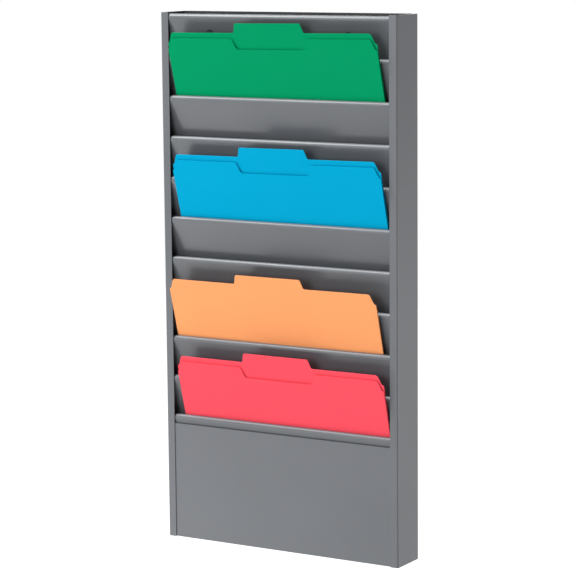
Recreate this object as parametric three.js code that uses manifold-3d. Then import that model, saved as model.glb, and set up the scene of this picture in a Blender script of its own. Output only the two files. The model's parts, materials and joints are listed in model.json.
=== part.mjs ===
// Wall rack of ten slanted sheet-steel pockets with four letter folders.
// Millimetres. X to the viewer's right, Y into the wall, Z up, origin between the keyholes on the wall face.
import * as THREE from 'three';
import { mergeVertices } from 'three/addons/utils/BufferGeometryUtils.js';
import Module from 'manifold-3d';

const wasm = await Module();
wasm.setup();

// Shell: back, sides and lower cover
const rackWidth = 336.5;
const rackDepth = 52;
const shellSheet = 1;
const shellBend = 1.5;
const frontFlange = 11;
const backReturn = 15;
const seatGap = 0.3;

// Pockets
const pocketCount = 10;
const pocketPitch = 51;
const headerDrop = 1.7;
const baseClear = 14.6;
const coverSeam = 12.3;
const coverLip = 8;

// Dividers: one bent sheet from the weld flange at its foot to the rolled hem on top
const dividerSheet = 0.9;
const leanDegrees = 18.2;
const weldFlange = 12;
const footBend = 1.5;
const hemSetback = 0.8;
const hemFrontRadius = 4;
const hemBackRadius = 1.4;
const hemFrontTurn = 100;
const hemBackTurn = 150;
const hemTail = 1.5;
const hemEndGap = 0.5;

// Wall fixing: keyholes in the back, reached through round holes in the header
const hangSpacing = 198;
const hangDrop = 26.5;
const accessHole = 12;
const keyholeHead = 11;
const keyholeSlot = 5.5;
const keyholeRise = 10;

// Letter folders: one folded card each. A turned one stands with its tab leaf in front,
// and one that stands askew, in degrees, rests on its left corner.
const folderWidth = 298.5;
const folderHeight = 241.3;
const cardSheet = 0.5;
const tabHeight = 12.3;
const tabWidth = 90.6;
const tabSlant = 6;
const frontLeafDrop = 7;
const notchDepth = 14;
const notchWidth = 91.6;
const notchSlant = 9.4;
const shoulderDrop = 13.5;
const shoulderWidth = 9.3;
const folders = [
  { name: 'chart_folder_green', pocket: 2, colour: 0x029f68, shift: 0.5, spread: 2, askew: 0.6 },
  { name: 'chart_folder_blue', pocket: 5, colour: 0x02add9, shift: 4.2, spread: 2.4, askew: 0.5 },
  { name: 'chart_folder_orange', pocket: 8, colour: 0xfeac70, shift: -4.4, spread: 0.8, turned: true },
  { name: 'chart_folder_red', pocket: 10, colour: 0xff5766, shift: 5.1, spread: 2 },
];

// Facets
const bendStep = 20;
const hemStep = 10;
const holeSides = 24;
const curveSteps = 8;

const paint = { color: 0x838589, roughness: 0.45, metalness: 0.1 };
const xAxis = new THREE.Vector3(1, 0, 0);
const yAxis = new THREE.Vector3(0, 1, 0);
const zAxis = new THREE.Vector3(0, 0, 1);
const acrossX = new THREE.Matrix4().makeBasis(yAxis, zAxis, xAxis);
const throughY = new THREE.Matrix4().makeBasis(xAxis, zAxis, yAxis.clone().negate());
const radians = THREE.MathUtils.degToRad;

// Outline of a bent sheet that follows a middle line of straight runs and turns, in degrees, left positive.
function sheetShape(start, headingDegrees, steps, thickness) {
  const point = new THREE.Vector2(...start);
  let heading = radians(headingDegrees);
  const leftSide = [];
  const rightSide = [];
  const leftward = () => new THREE.Vector2(-Math.sin(heading), Math.cos(heading));
  const markSides = () => {
    const offset = leftward().multiplyScalar(thickness / 2);
    leftSide.push(point.clone().add(offset));
    rightSide.unshift(point.clone().sub(offset));
  };
  markSides();
  for (const { run, turn, radius, facet = bendStep } of steps) {
    if (run) {
      point.add(new THREE.Vector2(Math.cos(heading), Math.sin(heading)).multiplyScalar(run));
      markSides();
      continue;
    }
    const reach = Math.sign(turn) * radius;
    const centre = point.clone().add(leftward().multiplyScalar(reach));
    const count = Math.ceil(Math.abs(turn) / facet);
    for (let i = 0; i < count; i += 1) {
      heading += radians(turn) / count;
      point.copy(centre).sub(leftward().multiplyScalar(reach));
      markSides();
    }
  }
  return new THREE.Shape([...leftSide, ...rightSide]);
}

function extrude(shape, depth) {
  return new THREE.ExtrudeGeometry(shape, { depth, bevelEnabled: false, curveSegments: curveSteps });
}

// A profile drawn in Y and Z, run across the rack and centred on X.
function extrudeAcross(shape, width) {
  return extrude(shape, width).applyMatrix4(acrossX).translate(-width / 2, 0, 0);
}

// An outline drawn in X and Z, cut from sheet that reaches back from y by its thickness.
function extrudeBack(shape, y, thickness) {
  return extrude(shape, thickness).applyMatrix4(throughY).translate(0, y + thickness, 0);
}

function boxBetween(low, high) {
  const size = high.map((value, i) => value - low[i]);
  const middle = high.map((value, i) => (value + low[i]) / 2);
  return new THREE.BoxGeometry(...size).translate(...middle);
}

function toSolid(geometry) {
  const bare = geometry.clone();
  bare.deleteAttribute('normal');
  bare.deleteAttribute('uv');
  const merged = mergeVertices(bare);
  return new wasm.Manifold(new wasm.Mesh({
    numProp: 3,
    vertProperties: new Float32Array(merged.attributes.position.array),
    triVerts: new Uint32Array(merged.index.array),
  }));
}

function toGeometry(solid) {
  const { vertProperties, triVerts } = solid.getMesh();
  const geometry = new THREE.BufferGeometry();
  geometry.setAttribute('position', new THREE.BufferAttribute(vertProperties, 3));
  geometry.setIndex(new THREE.BufferAttribute(triVerts, 1));
  geometry.computeVertexNormals();
  return geometry;
}

function cutFrom(geometry, cutters) {
  return toGeometry(cutters.reduce((solid, cutter) => solid.subtract(toSolid(cutter)), toSolid(geometry)));
}

function joined(geometries) {
  return toGeometry(geometries.map(toSolid).reduce((solid, next) => solid.add(next)));
}

function meshOf(name, geometry, finish) {
  const mesh = new THREE.Mesh(geometry, new THREE.MeshStandardMaterial(finish));
  mesh.name = name;
  return mesh;
}

// Divider section, with Z measured from the top of its hem
const lean = radians(leanDegrees);
const halfDivider = dividerSheet / 2;
const behindPanel = new THREE.Vector2(Math.cos(lean), Math.sin(lean));
const hemTopHeading = radians(90 + leanDegrees - hemFrontTurn);
const hemRadiusStep = hemFrontRadius - hemBackRadius;
const hemFrontCentre = new THREE.Vector2(
  hemSetback + hemFrontRadius + halfDivider,
  -hemBackRadius - halfDivider - hemRadiusStep * Math.cos(hemTopHeading),
);
const hemBackCentre = new THREE.Vector2(-Math.sin(hemTopHeading), Math.cos(hemTopHeading))
  .multiplyScalar(hemRadiusStep)
  .add(hemFrontCentre);
const panelTop = hemFrontCentre.clone().addScaledVector(behindPanel, -hemFrontRadius);
const weldY = rackDepth - shellSheet - seatGap - halfDivider;
const footY = weldY - footBend - footBend * Math.cos(lean);
const panelRun = (footY - panelTop.x) / Math.sin(lean);
const footZ = panelTop.y - panelRun * Math.cos(lean) + footBend * Math.sin(lean);
const dividerDrop = footBend + halfDivider - footZ;

// Places that follow from the sizes above
const rackHeight = headerDrop + pocketPitch * pocketCount + dividerDrop + baseClear;
const hangHeight = rackHeight - hangDrop;
const hemHeight = (index) => rackHeight - headerDrop - pocketPitch * index;
const halfWidth = rackWidth / 2;
const backHalfWidth = halfWidth - shellSheet - seatGap;
const dividerHalfWidth = backHalfWidth - shellSheet / 2 - shellBend - seatGap;
const hemHalfWidth = halfWidth - frontFlange - hemEndGap;

function makeSidePanel(name, side) {
  const cornerReach = shellBend + shellSheet / 2;
  const shape = sheetShape([halfWidth - frontFlange, shellSheet / 2], 0, [
    { run: frontFlange - cornerReach },
    { turn: 90, radius: shellBend },
    { run: rackDepth - cornerReach },
  ], shellSheet);
  const geometry = extrude(shape, rackHeight);
  const mesh = meshOf(name, geometry, paint);
  if (side < 0) {
    mesh.rotation.y = Math.PI;
    mesh.position.z = rackHeight;
  }
  return mesh;
}

function keyholeShape() {
  const headRadius = keyholeHead / 2;
  const slotRadius = keyholeSlot / 2;
  const headTurn = Math.asin(slotRadius / headRadius);
  const shape = new THREE.Shape();
  shape.absarc(0, -keyholeRise, headRadius, Math.PI / 2 + headTurn, Math.PI * 2.5 - headTurn, false);
  shape.absarc(0, 0, slotRadius, 0, Math.PI, false);
  return shape;
}

function makeBackPanel() {
  const cornerReach = shellBend + shellSheet / 2;
  const rear = rackDepth - shellSheet / 2;
  const edge = backHalfWidth - shellSheet / 2;
  const shape = sheetShape([-edge, rackDepth - backReturn], 90, [
    { run: backReturn - cornerReach },
    { turn: -90, radius: shellBend },
    { run: 2 * (edge - shellBend) },
    { turn: -90, radius: shellBend },
    { run: backReturn - cornerReach },
  ], shellSheet);
  const keyhole = extrudeBack(keyholeShape(), rear - shellSheet, 2 * shellSheet).translate(0, 0, hangHeight);
  const keyholes = [-1, 1].map((side) => keyhole.clone().translate(side * hangSpacing / 2, 0, 0));
  return meshOf('back_panel', cutFrom(extrude(shape, rackHeight), keyholes), paint);
}

function dividerBlank() {
  const shape = sheetShape([weldY, footZ + weldFlange], -90, [
    { run: weldFlange },
    { turn: leanDegrees - 180, radius: footBend },
    { run: panelRun },
    { turn: -hemFrontTurn, radius: hemFrontRadius, facet: hemStep },
    { turn: -hemBackTurn, radius: hemBackRadius, facet: 2 * hemStep },
    { run: hemTail },
  ], dividerSheet);
  const panelFace = panelTop.clone().addScaledVector(behindPanel, -halfDivider);
  const earTop = panelFace.y - Math.max(shellSheet + seatGap - panelFace.x, 0) / Math.tan(lean);
  const hemNotch = boxBetween([hemHalfWidth, 0, earTop], [halfWidth, rackDepth, pocketPitch]);
  const farNotch = hemNotch.clone().translate(-hemHalfWidth - halfWidth, 0, 0);
  return cutFrom(extrudeAcross(shape, 2 * dividerHalfWidth), [hemNotch, farNotch]);
}

// Holes punched square to the header's sheet, level with the keyholes.
function punchHeader(blank) {
  const dropFromHem = hangDrop - headerDrop;
  const holeY = panelTop.x + (dropFromHem + panelTop.y) * Math.tan(lean);
  const punch = new THREE.CylinderGeometry(accessHole / 2, accessHole / 2, pocketPitch / 4, holeSides);
  punch.rotateX(lean).translate(0, holeY, -dropFromHem);
  return cutFrom(blank, [-1, 1].map((side) => punch.clone().translate(side * hangSpacing / 2, 0, 0)));
}

function makeDividers() {
  const blank = dividerBlank();
  const dividers = [meshOf('header_divider', punchHeader(blank), paint)];
  for (let pocket = 1; pocket <= pocketCount; pocket += 1) {
    dividers.push(meshOf(`pocket_divider_${String(pocket).padStart(2, '0')}`, blank.clone(), paint));
  }
  dividers.forEach((divider, index) => divider.position.setZ(hemHeight(index)));
  return dividers;
}

function makeLowerCover() {
  const coverY = shellSheet + seatGap + shellSheet / 2;
  const coverTop = hemHeight(pocketCount) - coverSeam;
  const cornerReach = shellBend + shellSheet / 2;
  const shape = sheetShape([coverY, coverTop], -90, [
    { run: coverTop - cornerReach },
    { turn: 90, radius: shellBend },
    { run: weldY - coverY - 2 * shellBend },
    { turn: 90, radius: shellBend },
    { run: coverLip - cornerReach },
  ], shellSheet);
  return meshOf('lower_front_cover', extrudeAcross(shape, 2 * dividerHalfWidth), paint);
}

// One leaf, drawn up from the fold, with cut shoulders and a tab or a notch in its top edge.
function leafShape(topEdge, middleRise, middleWidth, middleSlant) {
  const half = folderWidth / 2;
  const flat = middleWidth / 2;
  const shape = new THREE.Shape();
  const sway = (x, z) => {
    const { x: fromX, y: fromZ } = shape.currentPoint;
    const middleX = (fromX + x) / 2;
    shape.bezierCurveTo(middleX, fromZ, middleX, z, x, z);
  };
  shape.moveTo(-half, 0);
  shape.lineTo(half, 0);
  shape.lineTo(half, topEdge - shoulderDrop);
  sway(half - shoulderWidth, topEdge);
  shape.lineTo(flat + middleSlant, topEdge);
  sway(flat, topEdge + middleRise);
  shape.lineTo(-flat, topEdge + middleRise);
  sway(-flat - middleSlant, topEdge);
  shape.lineTo(shoulderWidth - half, topEdge);
  sway(-half, topEdge - shoulderDrop);
  return shape;
}

// Where a folder rests: on the back of its hem, with its fold wedged between the divider and the weld flange.
function folderSeat(foldRadius) {
  const hemReach = hemBackRadius + halfDivider + seatGap + foldRadius;
  const panelReach = hemBackCentre.clone().sub(panelTop).dot(behindPanel) - halfDivider;
  const backStop = weldY - halfDivider - seatGap - foldRadius - hemBackCentre.x;
  let below = panelRun;
  let slope = lean;
  for (let i = 0; i < 40; i += 1) {
    const swing = lean - slope;
    slope = lean - Math.asin((panelReach + hemReach * Math.cos(swing) - foldRadius - seatGap) / below);
    below = (backStop - hemReach * Math.cos(slope)) / Math.sin(slope);
  }
  return { slope, below, hemReach };
}

function makeFolder({ name, pocket, colour, shift, spread, turned = false, askew = 0 }) {
  const foldRadius = spread / 2 + cardSheet;
  const { slope, below, hemReach } = folderSeat(foldRadius);
  const backTop = folderHeight - foldRadius - tabHeight;
  const frontTop = backTop - frontLeafDrop;
  const frontLeaf = extrudeBack(leafShape(frontTop, -notchDepth, notchWidth, notchSlant), -foldRadius, cardSheet);
  const backLeaf = extrudeBack(leafShape(backTop, tabHeight, tabWidth, tabSlant), foldRadius - cardSheet, cardSheet);
  const fold = extrudeAcross(sheetShape([cardSheet / 2 - foldRadius, cardSheet], -90, [
    { run: cardSheet },
    { turn: 180, radius: foldRadius - cardSheet / 2 },
    { run: cardSheet },
  ], cardSheet), folderWidth);
  const mesh = meshOf(name, joined([frontLeaf, backLeaf, fold]), { color: colour, roughness: 0.8, metalness: 0 });
  mesh.rotation.set(0, -radians(askew), turned ? Math.PI : 0);
  mesh.position.set(0, hemReach, folderWidth / 2 * Math.sin(radians(askew)) - below);
  const seat = new THREE.Group();
  seat.rotation.x = slope;
  seat.position.set(shift, hemBackCentre.x, hemHeight(pocket) + hemBackCentre.y);
  seat.add(mesh);
  return seat;
}

const rack = new THREE.Group();
rack.position.set(0, -rackDepth, -hangHeight);
rack.add(
  makeBackPanel(),
  makeSidePanel('left_side_panel', -1),
  makeSidePanel('right_side_panel', 1),
  ...makeDividers(),
  makeLowerCover(),
  ...folders.map(makeFolder),
);

const assembly = new THREE.Group();
assembly.add(rack);

export default assembly;
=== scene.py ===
import json
import math

import bmesh
import bpy
from mathutils import Matrix, Vector


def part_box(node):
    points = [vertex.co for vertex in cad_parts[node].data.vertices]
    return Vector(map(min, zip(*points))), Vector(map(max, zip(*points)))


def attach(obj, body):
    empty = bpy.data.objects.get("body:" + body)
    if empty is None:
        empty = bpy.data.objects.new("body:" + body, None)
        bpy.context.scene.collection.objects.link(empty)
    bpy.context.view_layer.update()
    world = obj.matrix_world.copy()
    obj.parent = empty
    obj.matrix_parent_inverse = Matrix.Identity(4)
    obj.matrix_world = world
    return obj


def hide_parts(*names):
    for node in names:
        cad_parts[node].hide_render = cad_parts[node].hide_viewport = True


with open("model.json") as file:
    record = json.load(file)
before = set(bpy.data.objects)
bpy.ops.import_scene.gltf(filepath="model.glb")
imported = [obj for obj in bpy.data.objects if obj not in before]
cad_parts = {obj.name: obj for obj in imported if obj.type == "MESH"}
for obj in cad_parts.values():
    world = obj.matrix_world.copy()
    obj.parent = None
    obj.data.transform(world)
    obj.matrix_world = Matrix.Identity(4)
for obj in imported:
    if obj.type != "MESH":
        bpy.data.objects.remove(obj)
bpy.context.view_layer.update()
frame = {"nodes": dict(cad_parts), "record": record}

# A wall chart rack: folded and painted sheet steel, rolled pocket hems and four card folders.
# Metres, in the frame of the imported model: X to the viewer's right, Y into the wall, Z up.
MM = 0.001
X_AXIS = Vector((1, 0, 0))
Z_AXIS = Vector((0, 0, 1))
quarter_turn = math.pi / 2

# Sheet metal, bends measured on the middle of the sheet
shell_sheet = 1.0 * MM
shell_bend = 1.5 * MM
divider_sheet = 0.9 * MM
divider_lean = math.radians(18.2)
weld_flange = 12 * MM
foot_bend = 1.5 * MM
hem_front_radius = 4 * MM
hem_back_radius = 1.4 * MM
hem_front_turn = math.radians(100)
hem_back_turn = math.radians(150)
hem_tail = 1.5 * MM
hem_end_gap = 0.5 * MM
seat_gap = 0.3 * MM
cover_lip = 8 * MM
cover_draw = 0.25 * MM

# Edges and facets of the sheet
paint_round = 0.2 * MM
flange_round = 0.42 * MM
round_steps = 2
cut_edge_angle = math.radians(50)
steel_crease = math.radians(40)
bend_facet = math.radians(9)
merge_reach = 0.001 * MM
end_reach = 0.01 * MM

# Wall fixing
hang_spacing = 198 * MM
access_hole = 12 * MM
keyhole_head = 11 * MM
keyhole_slot = 5.5 * MM
keyhole_rise = 10 * MM
hole_sides = 48
cutter_depth = 10 * MM

# Pockets and folders
pocket_count = 10
pocket_of = {"green": 2, "blue": 5, "orange": 8, "red": 10}
fan_of = {"green": -1.0 * MM, "blue": -1.5 * MM, "orange": 0, "red": -1.1 * MM}
leaf_bow = 0.7 * MM
leaf_grid = 12 * MM
flat_angle = math.radians(1)
card_crease = math.radians(30)

# Paint, with linear colours
paint_grey = (0.112, 0.119, 0.13)
# Near-black grey painted inside the back panel as painted shade
painted_shade_grey = (0.024, 0.026, 0.028)
paint_tones = (0.97, 1.03)
paint_roughness = (0.4, 0.46)
paint_shine = 0.4
paint_marks_per_metre = 9.0
peel_per_metre = 900.0
peel_height = 0.03 * MM
peel_speckle = 0.06
waves_per_metre = 11.0
wave_height = 0.6 * MM

# Card, with linear colours
card_colours = {
    "green": (0.001, 0.3, 0.118),
    "blue": (0.001, 0.363, 0.612),
    "orange": (0.965, 0.377, 0.149),
    "red": (0.965, 0.0865, 0.122),
}
card_tones = (0.93, 1.04)
card_roughness = (0.68, 0.82)
card_shine = 0.02
card_marks_per_metre = 14.0
fibres_per_metre = 1400.0
fibre_height = 0.05 * MM
bump_strength = 0.5

# Camera fitted to the corners of the rack in the photograph
frame_pixels = 576
focal_pixels = 2408
sensor_width = 36
camera_place = Vector((1.5352, -2.5678, 0.1328))
camera_yaw = math.radians(31.15)
camera_pitch = math.radians(8.57)
camera_roll = math.radians(-0.53)

# Studio
white = (1, 1, 1, 1)
rack_middle = Vector((0, -0.03, -0.31))
floor_level = -1.6
floor_size = 14
floor_colour = (0.85, 0.85, 0.85, 1)
floor_roughness = 0.9
floor_glow = 0.86
ambient_light = 0.18
lamps = {
    "overhead_box": {"place": (-1.2, -0.9, 1.9), "size": 1.2, "power": 112},
    "top_left_box": {"place": (-0.9, -0.3, 1.3), "size": 0.5, "power": 8},
    "front_box": {"place": (0.0, -2.6, 0.1), "size": 1.2, "power": 30},
    "left_key": {"place": (-1.0, -1.05, -1.0), "size": 0.32, "power": 3.4},
    "rear_box": {"place": (-0.9, 2.4, 0.5), "size": 1.4, "power": 40},
    "right_box": {"place": (1.4, 0.75, -0.6), "size": 0.4, "power": 10},
}

# Sockets of the Mix node when it mixes colours
MIX_FIRST, MIX_SECOND, MIX_RESULT = 6, 7, 2


def select_only(piece):
    bpy.ops.object.select_all(action="DESELECT")
    piece.select_set(True)
    bpy.context.view_layer.objects.active = piece


def enter_edit(piece):
    select_only(piece)
    bpy.ops.object.mode_set(mode="EDIT")


def leave_edit():
    bpy.ops.object.mode_set(mode="OBJECT")


def pick_edges(piece, test):
    """In edit mode, select the edges whose two ends both pass a test on their place."""
    bpy.ops.mesh.select_mode(type="EDGE")
    bpy.ops.mesh.select_all(action="DESELECT")
    mesh = bmesh.from_edit_mesh(piece.data)
    for edge in mesh.edges:
        if all(test(corner.co) for corner in edge.verts):
            edge.select_set(True)
    bmesh.update_edit_mesh(piece.data)


def cut_across(place, direction):
    """In edit mode, cut the whole mesh along a plane and keep both sides."""
    bpy.ops.mesh.select_all(action="SELECT")
    bpy.ops.mesh.bisect(plane_co=place, plane_no=direction)


def apply_modifier(piece, kind, **settings):
    select_only(piece)
    modifier = piece.modifiers.new(kind.lower(), kind)
    for name, value in settings.items():
        setattr(modifier, name, value)
    bpy.ops.object.modifier_apply(modifier=modifier.name)


def rename(piece, name):
    piece.name = name
    piece.data.name = name
    return piece


class FoldingPress:
    """Grows a strip of sheet along its middle line: straight runs are extruded and bends are spun."""

    def __init__(self, name, across, half_width, middle, start, heading, run):
        self.across = across
        self.point = Vector(start)
        self.heading = heading
        first = self.to_space(self.direction() * run)
        corner = self.to_space(self.point) + across * middle
        bpy.ops.object.select_all(action="DESELECT")
        bpy.ops.mesh.primitive_plane_add(size=1)
        self.piece = rename(bpy.context.object, name)
        sides = Matrix((across * 2 * half_width, first, across.cross(first).normalized())).transposed()
        self.piece.matrix_world = Matrix.Translation(corner + first / 2) @ sides.to_4x4()
        bpy.ops.object.transform_apply(location=True, rotation=True, scale=True)
        self.point += self.direction() * run
        enter_edit(self.piece)
        self.take_end()

    def to_space(self, flat):
        """A place or step on the drawing of the bends, in space."""
        return Vector((0, flat.x, flat.y)) if self.across is X_AXIS else Vector((flat.x, flat.y, 0))

    def direction(self):
        return Vector((math.cos(self.heading), math.sin(self.heading)))

    def leftward(self):
        return Vector((-math.sin(self.heading), math.cos(self.heading)))

    def take_end(self, half_width=None):
        """Select the edge that the next run or bend grows from, or the part of it nearest the middle."""
        end = self.to_space(self.point)

        def at_end(place):
            offset = place - end
            side = offset.dot(self.across)
            near = (offset - self.across * side).length < end_reach
            return near and (half_width is None or abs(side) < half_width + merge_reach)

        pick_edges(self.piece, at_end)

    def run(self, length):
        step = self.direction() * length
        bpy.ops.mesh.extrude_edges_move(TRANSFORM_OT_translate={"value": self.to_space(step)})
        self.point += step

    def bend(self, turn, radius):
        """Bend to the left by a positive turn, or to the right by a negative one."""
        signed_radius = math.copysign(radius, turn)
        centre = self.point + self.leftward() * signed_radius
        steps = math.ceil(abs(turn) / bend_facet)
        bpy.ops.mesh.spin(steps=steps, angle=-turn, center=self.to_space(centre), axis=self.across)
        self.heading += turn
        self.point = centre - self.leftward() * signed_radius

    def thicken(self, sheet):
        """Give the finished strip its sheet thickness."""
        bpy.ops.mesh.select_all(action="SELECT")
        bpy.ops.mesh.remove_doubles(threshold=merge_reach)
        bpy.ops.mesh.normals_make_consistent(inside=False)
        leave_edit()
        apply_modifier(self.piece, "SOLIDIFY", thickness=sheet, offset=0, use_even_offset=True)
        return self.piece


def soften(piece, width=paint_round):
    """Round the cut edges as paint does, and shade flat faces flat and bends smooth."""
    apply_modifier(
        piece, "BEVEL", width=width, segments=round_steps, limit_method="ANGLE", angle_limit=cut_edge_angle,
    )
    select_only(piece)
    bpy.ops.object.shade_smooth_by_angle(angle=steel_crease)
    apply_modifier(piece, "WEIGHTED_NORMAL", mode="FACE_AREA", keep_sharp=True)


def cut_away(piece, cutter):
    apply_modifier(piece, "BOOLEAN", operation="DIFFERENCE", object=cutter, solver="EXACT")
    bpy.data.objects.remove(cutter)


def drill(piece, place, tilt, width):
    bpy.ops.object.select_all(action="DESELECT")
    bpy.ops.mesh.primitive_cylinder_add(
        vertices=hole_sides, radius=width / 2, depth=cutter_depth,
        location=place, rotation=(quarter_turn + tilt, 0, 0),
    )
    cut_away(piece, bpy.context.object)


def slot_between(piece, low, high, width):
    bpy.ops.object.select_all(action="DESELECT")
    bpy.ops.mesh.primitive_cube_add(size=1, location=(low + high) / 2)
    bpy.context.object.scale = (width, cutter_depth, (high - low).length)
    cut_away(piece, bpy.context.object)


def dress(piece, material):
    piece.data.materials.clear()
    piece.data.materials.append(material)


def paint_steel(piece, node, paint):
    rename(piece, node + "_sheet")
    dress(piece, paint)
    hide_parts(node)
    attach(piece, "rack")


def make_side_panel(side, node):
    """An angle: the front flange, one bend, and the side back to the wall."""
    low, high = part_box(node)
    inner, outer = (low.x, high.x) if side > 0 else (high.x, low.x)
    corner = shell_bend + shell_sheet / 2
    heading = 0 if side > 0 else math.pi
    press = FoldingPress(
        node, Z_AXIS, (high.z - low.z) / 2, (high.z + low.z) / 2,
        (inner, low.y + shell_sheet / 2), heading, abs(outer - inner) - corner,
    )
    press.bend(side * quarter_turn, shell_bend)
    press.run(high.y - low.y - corner)
    piece = press.thicken(shell_sheet)
    soften(piece, flange_round)
    paint_steel(piece, node, grey_paint)


def make_back_panel():
    """A shallow tray with a return on each side and two keyholes."""
    low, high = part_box("back_panel")
    corner = shell_bend + shell_sheet / 2
    press = FoldingPress(
        "back_panel", Z_AXIS, (high.z - low.z) / 2, (high.z + low.z) / 2,
        (low.x + shell_sheet / 2, low.y), quarter_turn, high.y - low.y - corner,
    )
    press.bend(-quarter_turn, shell_bend)
    press.run(high.x - low.x - 2 * corner)
    press.bend(-quarter_turn, shell_bend)
    press.run(high.y - low.y - corner)
    piece = press.thicken(shell_sheet)
    for side in (-1, 1):
        screw = Vector((side * hang_spacing / 2, 0, 0))
        head = screw - Z_AXIS * keyhole_rise
        drill(piece, screw, 0, keyhole_slot)
        drill(piece, head, 0, keyhole_head)
        slot_between(piece, head, screw, keyhole_slot)
    soften(piece)
    paint_steel(piece, "back_panel", back_paint)


def pocket_node(pocket):
    return f"pocket_divider_{pocket:02d}"


def hem_start(node):
    """Where the middle line of a divider's slanted panel runs into its rolled hem."""
    low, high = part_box(node)
    half = divider_sheet / 2
    top_heading = quarter_turn + divider_lean - hem_front_turn
    roll_step = hem_front_radius - hem_back_radius
    roll_y = low.y + hem_front_radius + half
    roll_z = high.z - hem_back_radius - half - roll_step * math.cos(top_heading)
    drop = hem_front_radius * math.sin(divider_lean)
    return Vector((roll_y - hem_front_radius * math.cos(divider_lean), roll_z - drop))


def press_divider(node):
    """One divider before paint: weld flange, foot bend, slanted panel, and a hem between the flanges."""
    low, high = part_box(node)
    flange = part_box("right_side_panel")[0]
    half = divider_sheet / 2
    hem_half = flange.x - hem_end_gap
    panel_top = hem_start(node)
    weld_y = high.y - half
    foot_z = low.z + half + foot_bend
    press = FoldingPress(
        node, X_AXIS, high.x, 0, (weld_y, foot_z + weld_flange), -quarter_turn, weld_flange,
    )
    press.bend(divider_lean - math.pi, foot_bend)
    ear_depth = flange.y + shell_sheet + seat_gap + half / math.cos(divider_lean) - panel_top.x
    ear_drop = ear_depth / math.sin(divider_lean)
    press.run((panel_top - press.point).length - ear_drop)
    for side in (-1, 1):
        cut_across(X_AXIS * side * hem_half, X_AXIS)
    press.take_end(hem_half)
    press.run(ear_drop)
    press.bend(-hem_front_turn, hem_front_radius)
    press.bend(-hem_back_turn, hem_back_radius)
    press.run(hem_tail)
    return press.thicken(divider_sheet)


def copy_at(piece, step):
    """A copy with its own mesh, moved by a step."""
    select_only(piece)
    bpy.ops.object.duplicate()
    bpy.ops.transform.translate(value=step)
    bpy.ops.object.transform_apply(location=True, rotation=True, scale=True)
    return bpy.context.object


def make_dividers():
    """Press one divider, then copy it to the header and to every pocket."""
    first = pocket_node(1)
    plain = press_divider(first)
    header = copy_at(plain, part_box("header_divider")[1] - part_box(first)[1])
    panel_top = hem_start("header_divider")
    hole_y = panel_top.x + panel_top.y * math.tan(divider_lean)
    for side in (-1, 1):
        drill(header, Vector((side * hang_spacing / 2, hole_y, 0)), divider_lean, access_hole)
    soften(header)
    paint_steel(header, "header_divider", grey_paint)
    soften(plain)
    for pocket in range(2, pocket_count + 1):
        node = pocket_node(pocket)
        paint_steel(copy_at(plain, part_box(node)[1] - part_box(first)[1]), node, grey_paint)
    paint_steel(plain, first, grey_paint)


def make_lower_cover():
    """The front cover with its bottom return and lip, drawn close to the flanges by its welds."""
    low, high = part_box("lower_front_cover")
    front = low.y - cover_draw
    half = shell_sheet / 2
    corner = shell_bend + half
    press = FoldingPress(
        "lower_front_cover", X_AXIS, high.x, 0,
        (front + half, high.z), -quarter_turn, high.z - low.z - corner,
    )
    press.bend(quarter_turn, shell_bend)
    press.run(high.y - front - 2 * corner)
    press.bend(quarter_turn, shell_bend)
    press.run(cover_lip - corner)
    piece = press.thicken(shell_sheet)
    soften(piece)
    paint_steel(piece, "lower_front_cover", grey_paint)


def copy_solid(solid, name):
    """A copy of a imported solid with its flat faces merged."""
    piece = bpy.data.objects.new(name, solid.data.copy())
    bpy.context.scene.collection.objects.link(piece)
    rename(piece, name)
    select_only(piece)
    bpy.ops.mesh.customdata_custom_splitnormals_clear()
    enter_edit(piece)
    bpy.ops.mesh.select_all(action="SELECT")
    bpy.ops.mesh.remove_doubles(threshold=merge_reach)
    bpy.ops.mesh.dissolve_limited(angle_limit=flat_angle)
    leave_edit()
    return piece


def reach_along(piece, direction):
    """The least and the greatest reach of a piece along a direction."""
    reaches = [vertex.co.dot(direction) for vertex in piece.data.vertices]
    return min(reaches), max(reaches)


def make_folder(colour):
    """A card folder whose free upper leaves bow and fan a little, as handled card does."""
    node = f"chart_folder_{colour}"
    joint = next(j for j in frame["record"]["behaviour"]["joints"] if j["child"] == f"folder_{colour}")
    upward = Vector(joint["axis"]).normalized()
    behind = X_AXIS.cross(upward) * -1
    solid = frame["nodes"][node]
    low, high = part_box(node)
    width = high.x - low.x
    fold, top = reach_along(solid, upward)
    middle_depth = sum(reach_along(solid, behind)) / 2
    piece = copy_solid(solid, f"{node}_card")
    enter_edit(piece)
    for i in range(1, int(width / leaf_grid)):
        cut_across(Vector((low.x + i * leaf_grid, 0, 0)), X_AXIS)
    for i in range(1, int((top - fold) / leaf_grid)):
        cut_across(upward * (fold + i * leaf_grid), upward)
    leave_edit()
    hem_low, hem_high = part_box(pocket_node(pocket_of[colour]))
    grip = Vector((0, hem_low.y, hem_high.z)).dot(upward)
    for vertex in piece.data.vertices:
        free = max(0, vertex.co.dot(upward) - grip) / (top - grip)
        across = (vertex.co.x - (low.x + high.x) / 2) / width
        front = vertex.co.dot(behind) < middle_depth
        forward = leaf_bow * math.cos(math.pi * across) + (fan_of[colour] if front else 0)
        vertex.co -= behind * forward * free ** 2
    select_only(piece)
    bpy.ops.object.shade_smooth_by_angle(angle=card_crease)
    dress(piece, card_material(colour))
    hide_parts(node)
    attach(piece, f"folder_{colour}")


def put(tree, kind, inputs=None, **settings):
    """Add a shader node, set its properties, and feed its inputs with values or other outputs."""
    made = tree.nodes.new("ShaderNode" + kind)
    for name, value in settings.items():
        setattr(made, name, value)
    for name, value in (inputs or {}).items():
        if isinstance(value, bpy.types.NodeSocket):
            tree.links.new(value, made.inputs[name])
        else:
            made.inputs[name].default_value = value
    return made


def scaled(colour, factor):
    return tuple(min(1, c * factor) for c in colour) + (1,)


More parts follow.
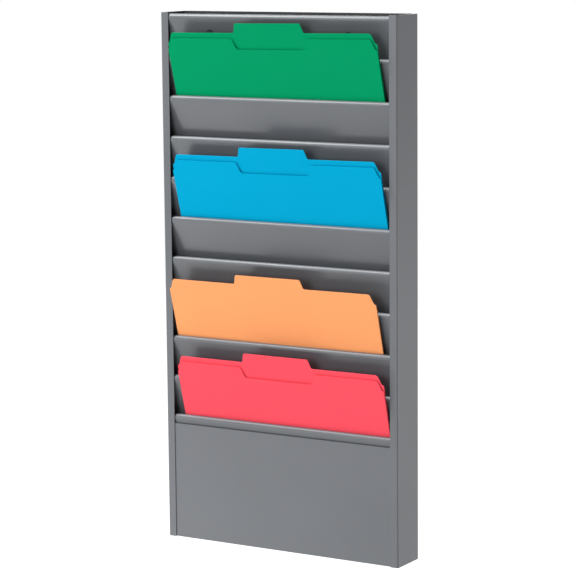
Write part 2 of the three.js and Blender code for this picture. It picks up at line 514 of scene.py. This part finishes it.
def mix_colours(tree, factor, first, second, blend_type="MIX"):
    mixed = put(tree, "Mix", data_type="RGBA", blend_type=blend_type, inputs={
        "Factor": factor, MIX_FIRST: first, MIX_SECOND: second,
    })
    return mixed.outputs[MIX_RESULT]


def spread_over(tree, value, limits):
    """A value from nought to one, spread over the range between two limits."""
    spread = put(tree, "MapRange", {"Value": value, "To Min": limits[0], "To Max": limits[1]})
    return spread.outputs["Result"]


def new_group(name, inputs, outputs):
    tree = bpy.data.node_groups.new(name, "ShaderNodeTree")
    for label, kind in inputs.items():
        tree.interface.new_socket(label, in_out="INPUT", socket_type="NodeSocket" + kind)
    for label, kind in outputs.items():
        tree.interface.new_socket(label, in_out="OUTPUT", socket_type="NodeSocket" + kind)
    return tree, tree.nodes.new("NodeGroupInput").outputs, tree.nodes.new("NodeGroupOutput").inputs


def place_group(tree, group, inputs):
    return put(tree, "Group", inputs, node_tree=group).outputs


def make_fine_grain():
    """Fine surface grain at a size in metres: an even height and a speckle of light and dark."""
    tree, given, result = new_group(
        "fine_grain",
        {"Vector": "Vector", "Grain per metre": "Float"},
        {"Height": "Float", "Speckle": "Float"},
    )
    grain = put(tree, "TexNoise", {
        "Vector": given["Vector"], "Scale": given["Grain per metre"], "Detail": 3.0, "Roughness": 0.6,
    })
    speckle = put(tree, "MapRange", {"Value": grain.outputs["Fac"], "From Min": 0.3, "From Max": 0.7})
    tree.links.new(grain.outputs["Fac"], result["Height"])
    tree.links.new(speckle.outputs["Result"], result["Speckle"])
    return tree


def make_handling_marks():
    """Broad soft patches where hands and dust have been."""
    tree, given, result = new_group(
        "handling_marks", {"Vector": "Vector", "Marks per metre": "Float"}, {"Mask": "Float"}
    )
    patches = put(tree, "TexNoise", {
        "Vector": given["Vector"], "Scale": given["Marks per metre"], "Detail": 5.0, "Roughness": 0.55,
        "Distortion": 0.4,
    })
    mask = put(tree, "MapRange", {"Value": patches.outputs["Fac"], "From Min": 0.35, "From Max": 0.65})
    tree.links.new(mask.outputs["Result"], result["Mask"])
    return tree


def make_powder_coat():
    """Semi-gloss powder coat: fine orange peel, slow waves of the sheet, faint handling marks."""
    tree, given, result = new_group(
        "powder_coat",
        {"Vector": "Vector"},
        {"Color": "Color", "Roughness": "Float", "Normal": "Vector"},
    )
    place = given["Vector"]
    peel = place_group(tree, fine_grain, {"Vector": place, "Grain per metre": peel_per_metre})
    marks = place_group(tree, handling_marks, {"Vector": place, "Marks per metre": paint_marks_per_metre})
    waves = put(tree, "TexNoise", {"Vector": place, "Scale": waves_per_metre, "Detail": 1.0})
    darker, lighter = (scaled(paint_grey, tone) for tone in paint_tones)
    tone = mix_colours(tree, marks["Mask"], darker, lighter)
    speckled = mix_colours(tree, peel_speckle, tone, peel["Speckle"], "MULTIPLY")
    sway = put(tree, "Bump", {
        "Height": waves.outputs["Fac"], "Distance": wave_height, "Strength": bump_strength,
    })
    bumps = put(tree, "Bump", {
        "Height": peel["Height"], "Distance": peel_height, "Strength": bump_strength,
        "Normal": sway.outputs["Normal"],
    })
    tree.links.new(speckled, result["Color"])
    tree.links.new(spread_over(tree, marks["Mask"], paint_roughness), result["Roughness"])
    tree.links.new(bumps.outputs["Normal"], result["Normal"])
    return tree


def blank_material(name):
    material = bpy.data.materials.new(name)
    material.use_nodes = True
    tree = material.node_tree
    return material, tree, tree.nodes["Principled BSDF"].inputs


def feed_shader(tree, shader, shine, colour, roughness, normal):
    shader["Specular IOR Level"].default_value = shine
    tree.links.new(colour, shader["Base Color"])
    tree.links.new(roughness, shader["Roughness"])
    tree.links.new(normal, shader["Normal"])


def make_grey_paint(name, painted_inside_shade=False):
    """Painted steel.

    Inside the rack, the colour can go near black away from the wall face: painted shade.
    """
    material, tree, shader = blank_material(name)
    place = put(tree, "TexCoord").outputs["Object"]
    coat = place_group(tree, powder_coat, {"Vector": place})
    colour = coat["Color"]
    # Painted shade: the back panel's inside goes near black away from the wall face
    if painted_inside_shade:
        depth = put(tree, "SeparateXYZ", {"Vector": place}).outputs["Y"]
        inside = put(tree, "MapRange", {
            "Value": depth, "From Min": -shell_sheet, "From Max": 0, "To Min": 1, "To Max": 0,
        })
        colour = mix_colours(tree, inside.outputs["Result"], colour, scaled(painted_shade_grey, 1))
    feed_shader(tree, shader, paint_shine, colour, coat["Roughness"], coat["Normal"])
    return material


def card_material(colour):
    """Dyed card: fibres, flecks and a slight unevenness of the dye."""
    material, tree, shader = blank_material(f"{colour}_card")
    place = put(tree, "TexCoord").outputs["Object"]
    fibres = place_group(tree, fine_grain, {"Vector": place, "Grain per metre": fibres_per_metre})
    marks = place_group(tree, handling_marks, {"Vector": place, "Marks per metre": card_marks_per_metre})
    darker, lighter = (scaled(card_colours[colour], tone) for tone in card_tones)
    dye = mix_colours(tree, fibres["Speckle"], darker, lighter)
    worn = spread_over(tree, marks["Mask"], card_roughness)
    bumps = put(tree, "Bump", {
        "Height": fibres["Height"], "Distance": fibre_height, "Strength": bump_strength,
    })
    feed_shader(tree, shader, card_shine, dye, worn, bumps.outputs["Normal"])
    return material


def seen_directly(tree):
    """One for rays from the camera, a mirror or glass, which see the white studio."""
    path = put(tree, "LightPath")
    mirrored = put(tree, "Math", operation="MAXIMUM", inputs={
        0: path.outputs["Is Camera Ray"], 1: path.outputs["Is Glossy Ray"],
    })
    through = put(tree, "Math", operation="MAXIMUM", inputs={
        0: mirrored.outputs[0], 1: path.outputs["Is Transmission Ray"],
    })
    return through.outputs[0]


def make_world():
    world = bpy.data.worlds.new("white_studio")
    bpy.context.scene.world = world
    world.use_nodes = True
    tree = world.node_tree
    background = tree.nodes["Background"].inputs
    background["Color"].default_value = white
    tree.links.new(spread_over(tree, seen_directly(tree), (ambient_light, 1.0)), background["Strength"])


def make_floor():
    bpy.ops.object.select_all(action="DESELECT")
    bpy.ops.mesh.primitive_plane_add(size=floor_size, location=(0, 0, floor_level))
    floor = rename(bpy.context.object, "pale_floor")
    material, tree, shader = blank_material("pale_floor")
    shader["Base Color"].default_value = floor_colour
    shader["Roughness"].default_value = floor_roughness
    sight = put(tree, "Math", operation="MULTIPLY", inputs={0: seen_directly(tree), 1: floor_glow})
    glow = put(tree, "Emission", {"Color": white, "Strength": sight.outputs[0]})
    both = put(tree, "AddShader", {0: tree.nodes["Principled BSDF"].outputs[0], 1: glow.outputs[0]})
    tree.links.new(both.outputs[0], tree.nodes["Material Output"].inputs["Surface"])
    dress(floor, material)


def make_lamp(name, place, size, power):
    light = bpy.data.lights.new(name, "AREA")
    light.size = size
    light.energy = power
    lamp = bpy.data.objects.new(name, light)
    bpy.context.scene.collection.objects.link(lamp)
    lamp.location = place
    lamp.rotation_euler = (rack_middle - lamp.location).to_track_quat("-Z", "Y").to_euler()


def make_camera():
    lens = bpy.data.cameras.new("photo_camera")
    lens.sensor_width = sensor_width
    lens.lens = focal_pixels / frame_pixels * sensor_width
    camera = bpy.data.objects.new("photo_camera", lens)
    bpy.context.scene.collection.objects.link(camera)
    level = math.cos(camera_pitch)
    forward = Vector((-math.sin(camera_yaw) * level, math.cos(camera_yaw) * level, -math.sin(camera_pitch)))
    right = Vector((math.cos(camera_yaw), math.sin(camera_yaw), 0))
    up = right.cross(forward)
    tilted_right = right * math.cos(camera_roll) + up * math.sin(camera_roll)
    tilted_up = up * math.cos(camera_roll) - right * math.sin(camera_roll)
    turn = Matrix((tilted_right, tilted_up, -forward)).transposed()
    camera.matrix_world = Matrix.Translation(camera_place) @ turn.to_4x4()
    bpy.context.scene.camera = camera


make_camera()
make_world()
make_floor()
for lamp_name, lamp in lamps.items():
    make_lamp(lamp_name, **lamp)
bpy.context.scene.view_settings.view_transform = "Standard"

fine_grain = make_fine_grain()
handling_marks = make_handling_marks()
powder_coat = make_powder_coat()
grey_paint = make_grey_paint("grey_paint")
# The back panel's paint carries painted shade on its inside
back_paint = make_grey_paint("back_paint", painted_inside_shade=True)

make_side_panel(-1, "left_side_panel")
make_side_panel(1, "right_side_panel")
make_back_panel()
make_dividers()
make_lower_cover()
for folder_colour in card_colours:
    make_folder(folder_colour)
